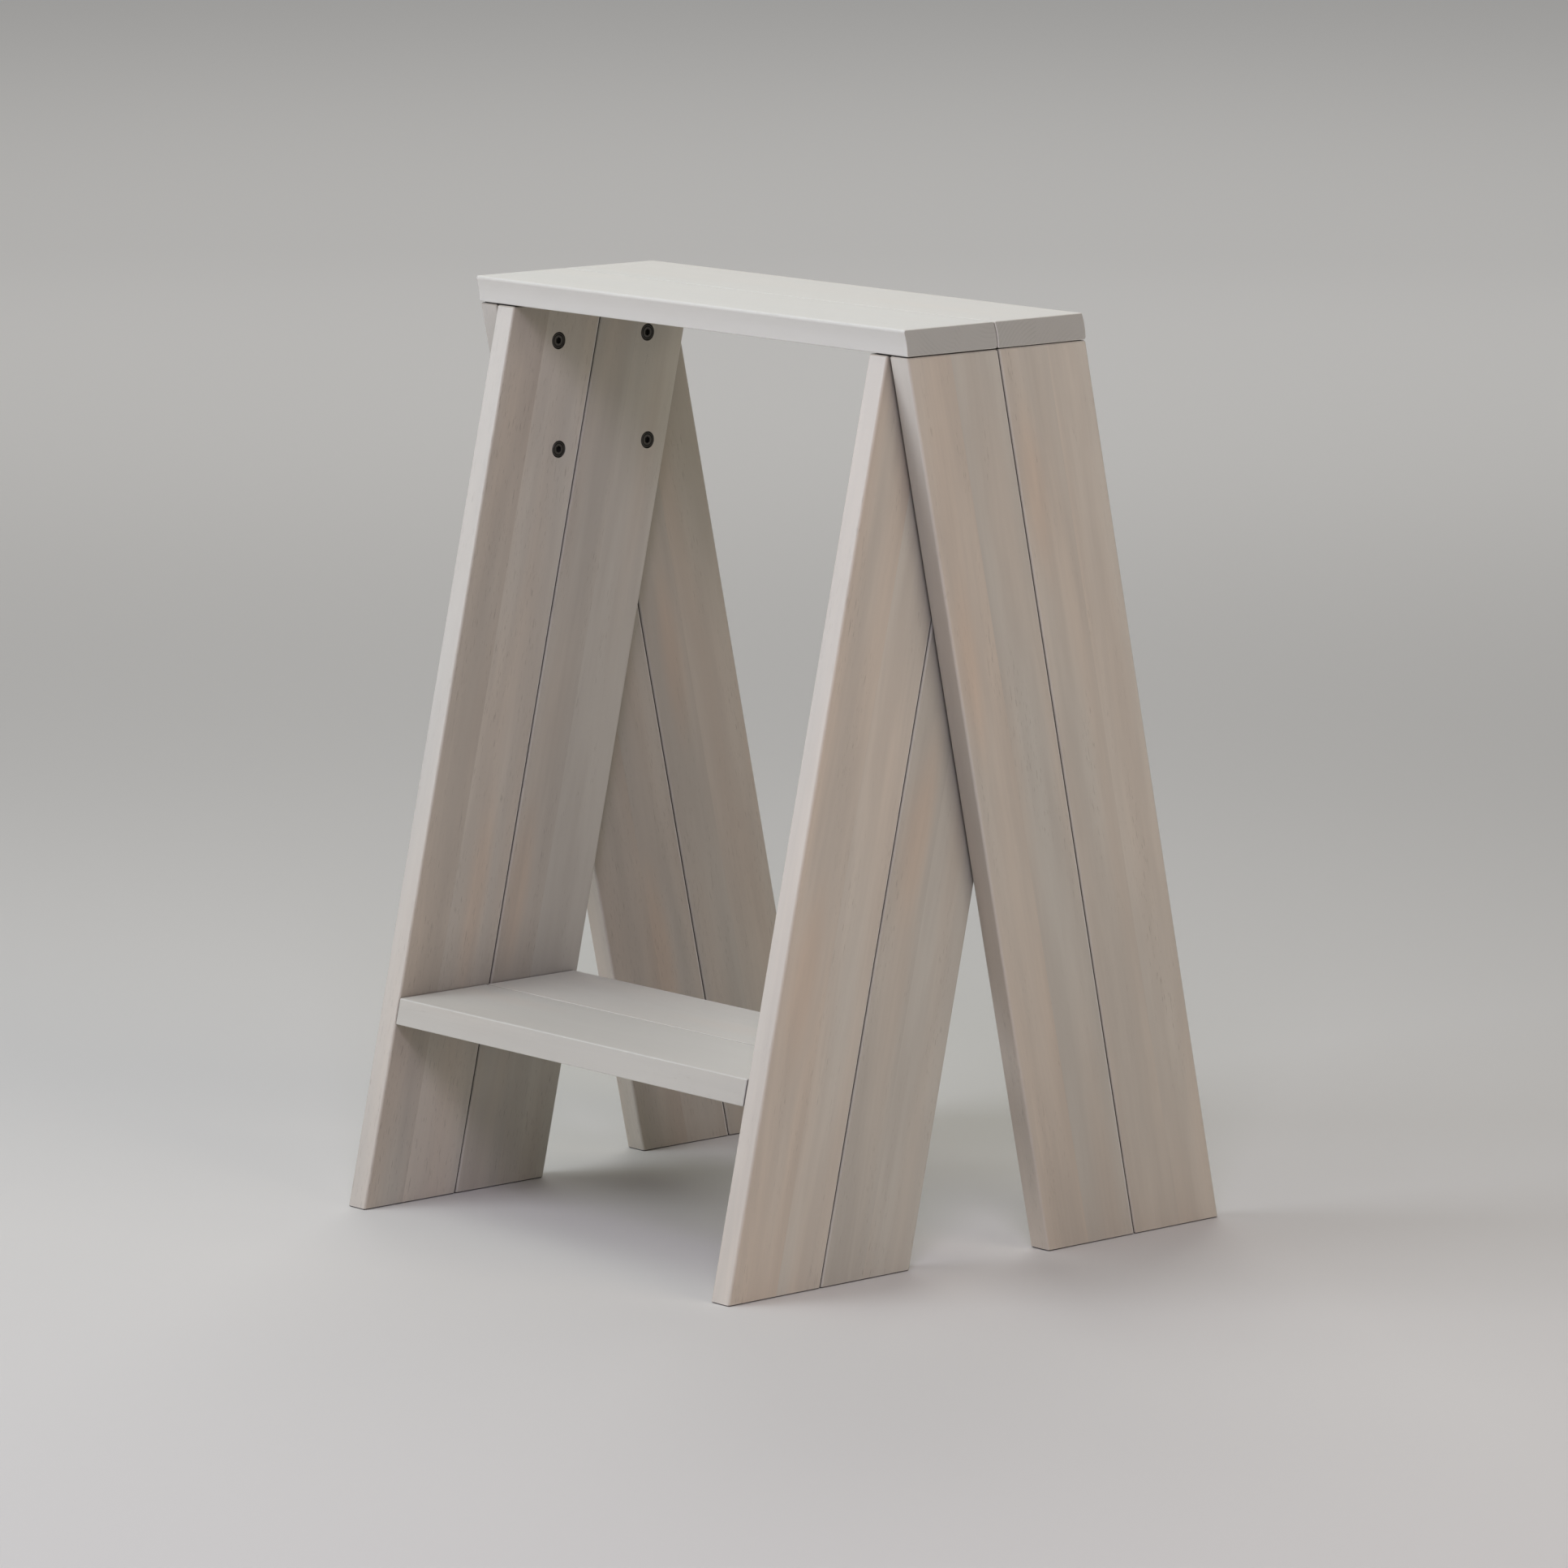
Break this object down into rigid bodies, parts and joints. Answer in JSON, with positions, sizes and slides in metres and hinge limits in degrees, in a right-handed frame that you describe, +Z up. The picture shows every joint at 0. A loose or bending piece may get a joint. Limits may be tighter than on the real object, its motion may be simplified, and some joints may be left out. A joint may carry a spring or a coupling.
{
  "type": "sawhorse",
  "caption": "Rigid wooden trestle with a flat two-board top, crossed board legs and a low step between the inner legs.",
  "frame": {"origin": "on the floor, under the middle of the top", "axes": "+X along the top to its right end, +Y to the rear, where the outer legs' feet stand, +Z up"},
  "size_m": [0.505, 0.5006, 0.735],
  "materials": {
    "top_wood": "pale glaze, matt",
    "leg_wood": "pale glaze, matt",
    "step_wood": "pale glaze, matt",
    "black_steel": "black, satin",
    "zinc_steel": "zinc plated",
    "beech": "raw"
  },
  "bodies": {
    "root": {"top_board_front": "top_wood", "step_board_front": "step_wood", "left_outer_leg_front_board": "leg_wood", "left_inner_leg_front_board": "leg_wood", "right_outer_leg_front_board": "leg_wood", "right_inner_leg_front_board": "leg_wood", "top_board_rear": "top_wood", "step_board_rear": "step_wood", "left_outer_leg_rear_board": "leg_wood", "left_inner_leg_rear_board": "leg_wood", "right_outer_leg_rear_board": "leg_wood", "right_inner_leg_rear_board": "leg_wood", "left_leg_bolts": "black_steel", "left_leg_inserts": "zinc_steel", "left_leg_washers": "zinc_steel", "left_top_joint_dowels": "beech", "left_step_joint_dowels": "beech", "left_outer_leg_edge_dowels": "beech", "left_inner_leg_edge_dowels": "beech", "right_leg_bolts": "black_steel", "right_leg_inserts": "zinc_steel", "right_leg_washers": "zinc_steel", "right_top_joint_dowels": "beech", "right_step_joint_dowels": "beech", "right_outer_leg_edge_dowels": "beech", "right_inner_leg_edge_dowels": "beech", "top_edge_dowels": "beech", "step_edge_dowels": "beech"}
  },
  "joints": []
}
